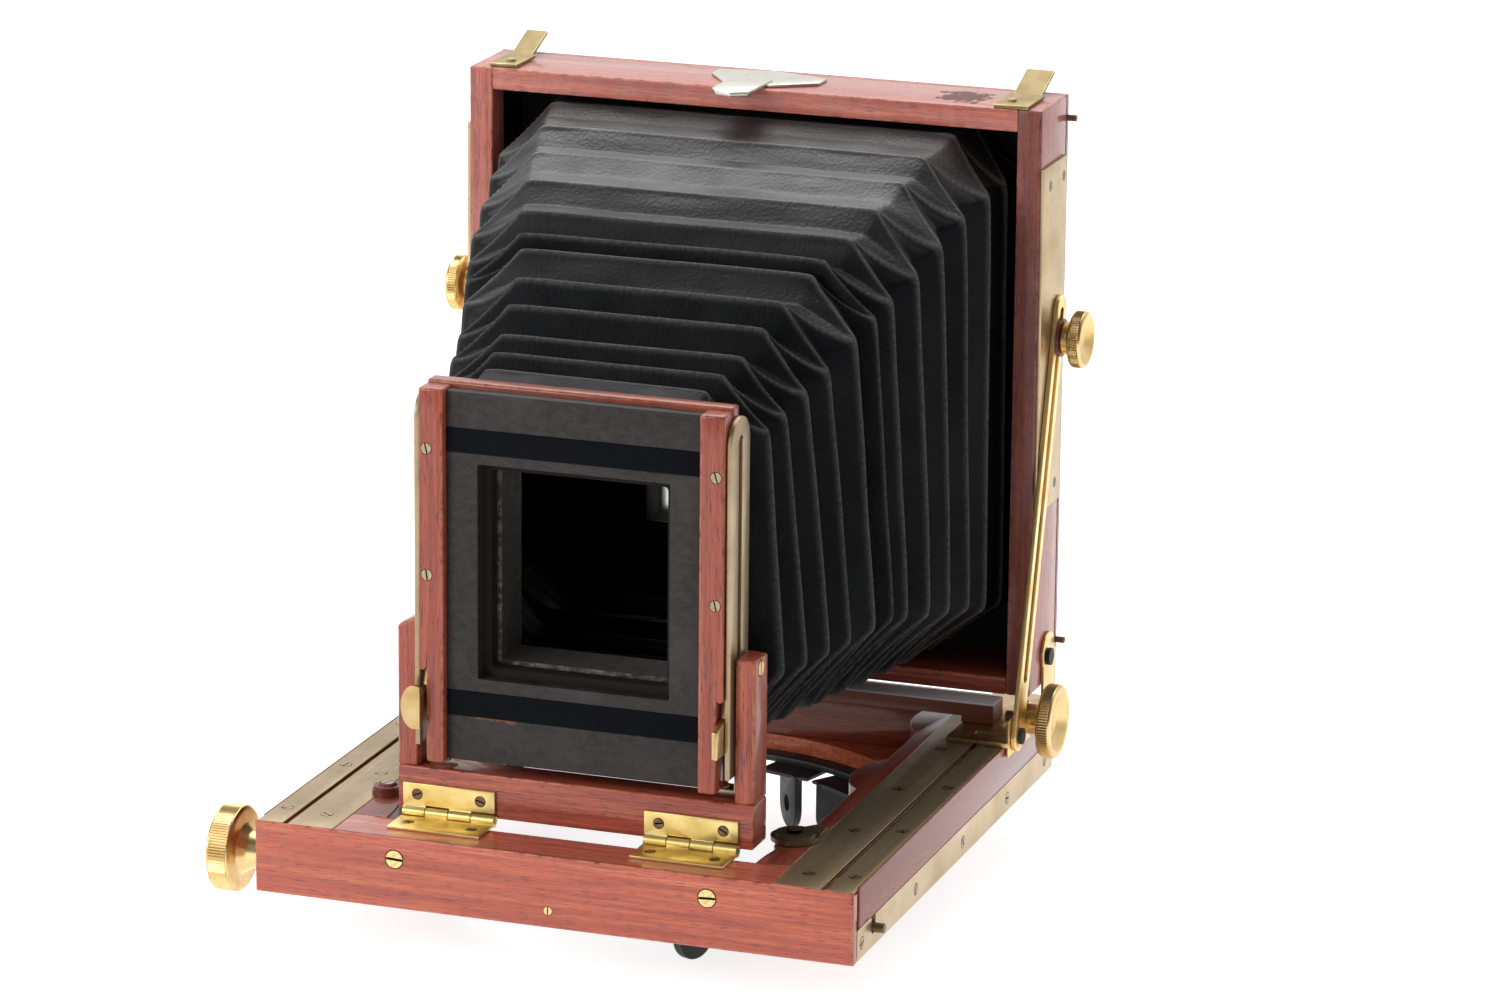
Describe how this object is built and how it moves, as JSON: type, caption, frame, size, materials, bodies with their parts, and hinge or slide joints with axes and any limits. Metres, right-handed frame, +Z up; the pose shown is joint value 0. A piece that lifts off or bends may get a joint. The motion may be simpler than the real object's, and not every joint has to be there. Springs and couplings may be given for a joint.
{
  "type": "plate camera",
  "caption": "Folding wooden plate camera on a rack-driven base, with bellows, hinged front standard, sliding rear carriage, focusing screen and tripod turntable.",
  "frame": {"origin": "on the turntable's axis, at the underside of the wooden base", "axes": "+X across the camera, to the right as seen from the lens side; +Y from the lens to the focusing screen; +Z up"},
  "size_m": [0.2397, 0.2405, 0.265],
  "materials": {
    "mahogany": "lacquered mahogany",
    "dull_brass": "tarnished sheet brass",
    "brass": "lacquered brass",
    "fibre": "red fibre",
    "blackened_metal": "blackened, satin",
    "bellows_leather": "black, fine grain",
    "felt": "dark blue felt",
    "black_wood": "blackened wood",
    "nickel": "worn nickel",
    "ground_glass": "ground"
  },
  "bodies": {
    "base": {"outer_rail_left": "mahogany", "outer_rail_right": "mahogany", "rear_cross_bar": "mahogany", "bottom_board": "mahogany", "outer_strips": "dull_brass", "side_strips": "dull_brass", "pinion_bushes": "brass", "turntable_clips": "brass", "base_screws": "dull_brass", "bellows": "bellows_leather"},
    "turntable": {"turntable_ring": "blackened_metal", "leg_lugs": "blackened_metal"},
    "extension": {"front_bar": "mahogany", "inner_rail_left": "mahogany", "inner_rail_right": "mahogany", "inner_strips": "dull_brass", "racks": "dull_brass", "hinge_leaves_lower": "brass", "hinge_pins": "dull_brass", "extension_screws": "dull_brass", "rest_stud": "fibre"},
    "turn_button": {"turn_button": "dull_brass"},
    "pinion": {"pinion_shaft": "dull_brass", "focus_knob": "brass"},
    "front_frame": {"u_bottom_bar": "mahogany", "u_arm_left": "mahogany", "u_arm_right": "mahogany", "hinge_leaves_upper": "brass", "u_screws": "dull_brass"},
    "lever_left": {"clamp_lever_left": "brass"},
    "lever_right": {"clamp_lever_right": "brass"},
    "slot_bushes": {"slot_bushes": "brass"},
    "lens_frame": {"lens_rear_frame": "mahogany", "lens_panel": "black_wood", "guide_strips": "mahogany", "felt_bands": "felt", "brackets": "dull_brass", "lens_screws": "dull_brass"},
    "carriage": {"carriage_board": "mahogany", "carriage_plates": "brass", "carriage_screws": "blackened_metal"},
    "rear_knob": {"rear_knob": "brass"},
    "body": {"body_side_left": "mahogany", "body_side_right": "mahogany", "body_top": "mahogany", "body_bottom": "mahogany", "body_plates": "dull_brass", "body_screws": "blackened_metal", "centre_catch": "nickel", "reversing_back": "mahogany"},
    "catch_left": {"catch_left": "brass"},
    "catch_right": {"catch_right": "brass"},
    "strut_left": {"strut_left": "brass"},
    "strut_right": {"strut_right": "brass"},
    "stud_left": {"stud_left": "fibre"},
    "stud_right": {"stud_right": "fibre"},
    "nut_left": {"thumb_nut_left": "brass"},
    "nut_right": {"thumb_nut_right": "brass"},
    "screen": {"focusing_frame": "mahogany", "ground_glass": "ground_glass"}
  },
  "joints": [
    {"name": "turntable_turn", "type": "hinge", "parent": "base", "child": "turntable", "pos_m": [0, 0, 0], "axis": [0, 0, 1], "continuous": true},
    {"name": "extension_rack", "type": "slide", "parent": "base", "child": "extension", "axis": [0, -1, 0], "range_m": [0, 0.075], "deforming": ["bellows"]},
    {"name": "pinion_spin", "type": "hinge", "parent": "base", "child": "pinion", "pos_m": [0, -0.0885, 0.0064], "axis": [1, 0, 0], "range_deg": [-5, 1080]},
    {"name": "turn_button_turn", "type": "hinge", "parent": "extension", "child": "turn_button", "pos_m": [0.068, -0.0655, 0.025], "axis": [0, 0, 1], "range_deg": [0, 90]},
    {"name": "front_tilt", "type": "hinge", "parent": "extension", "child": "front_frame", "pos_m": [0, -0.0875, 0.026], "axis": [1, 0, 0], "range_deg": [-6, 6], "deforming": ["bellows"]},
    {"name": "lever_left_turn", "type": "hinge", "parent": "front_frame", "child": "lever_left", "pos_m": [-0.0511, -0.0815, 0.086], "axis": [1, 0, 0], "range_deg": [-5, 2]},
    {"name": "lever_right_turn", "type": "hinge", "parent": "front_frame", "child": "lever_right", "pos_m": [0.0511, -0.0815, 0.086], "axis": [1, 0, 0], "range_deg": [-5, 2]},
    {"name": "lens_tilt", "type": "hinge", "parent": "front_frame", "child": "slot_bushes", "pos_m": [0, -0.0815, 0.086], "axis": [1, 0, 0], "range_deg": [-4, 4], "deforming": ["bellows"]},
    {"name": "lens_rise", "type": "slide", "parent": "slot_bushes", "child": "lens_frame", "axis": [0, 0, 1], "range_m": [0, 0.033], "deforming": ["bellows"]},
    {"name": "carriage_slide", "type": "slide", "parent": "base", "child": "carriage", "axis": [0, -1, 0], "range_m": [0, 0.03], "deforming": ["bellows"]},
    {"name": "rear_knob_turn", "type": "hinge", "parent": "carriage", "child": "rear_knob", "pos_m": [0.1, 0.0715, 0.029], "axis": [1, 0, 0], "range_deg": [0, 270]},
    {"name": "body_tilt", "type": "hinge", "parent": "carriage", "child": "body", "pos_m": [0, 0.097, 0.0438], "axis": [1, 0, 0], "range_deg": [-4, 10], "deforming": ["bellows"]},
    {"name": "strut_left_turn", "type": "hinge", "parent": "carriage", "child": "strut_left", "pos_m": [-0.1048, 0.0595, 0.0264], "axis": [1, 0, 0], "range_deg": [-3.5, 8.5]},
    {"name": "stud_left_slide", "type": "slide", "parent": "strut_left", "child": "stud_left", "axis": [0, 0.2723, 0.9622], "range_m": [-0.0065, 0.003]},
    {"name": "nut_left_turn", "type": "hinge", "parent": "stud_left", "child": "nut_left", "pos_m": [-0.111, 0.09645, 0.15697], "axis": [1, 0, 0], "range_deg": [0, 300]},
    {"name": "strut_right_turn", "type": "hinge", "parent": "carriage", "child": "strut_right", "pos_m": [0.1048, 0.0595, 0.0264], "axis": [1, 0, 0], "range_deg": [-3.5, 8.5]},
    {"name": "stud_right_slide", "type": "slide", "parent": "strut_right", "child": "stud_right", "axis": [0, 0.2723, 0.9622], "range_m": [-0.0065, 0.003]},
    {"name": "nut_right_turn", "type": "hinge", "parent": "stud_right", "child": "nut_right", "pos_m": [0.111, 0.09645, 0.15697], "axis": [1, 0, 0], "range_deg": [0, 300]},
    {"name": "catch_left_turn", "type": "hinge", "parent": "body", "child": "catch_left", "pos_m": [-0.09, 0.0865, 0.239], "axis": [0, 0, 1], "range_deg": [-90, 0]},
    {"name": "catch_right_turn", "type": "hinge", "parent": "body", "child": "catch_right", "pos_m": [0.09, 0.0865, 0.239], "axis": [0, 0, 1], "range_deg": [0, 90]},
    {"name": "screen_open", "type": "hinge", "parent": "body", "child": "screen", "pos_m": [0, 0.1266, 0.067], "axis": [1, 0, 0], "range_deg": [-100, 0]}
  ],
  "couplings": [
    {"joint": "pinion_spin", "follows": "extension_rack", "rad_per_m": 250},
    {"joint": "strut_left_turn", "follows": "body_tilt", "ratio": 0.82},
    {"joint": "stud_left_slide", "follows": "body_tilt", "m_per_rad": -0.034},
    {"joint": "strut_right_turn", "follows": "body_tilt", "ratio": 0.82},
    {"joint": "stud_right_slide", "follows": "body_tilt", "m_per_rad": -0.034}
  ]
}
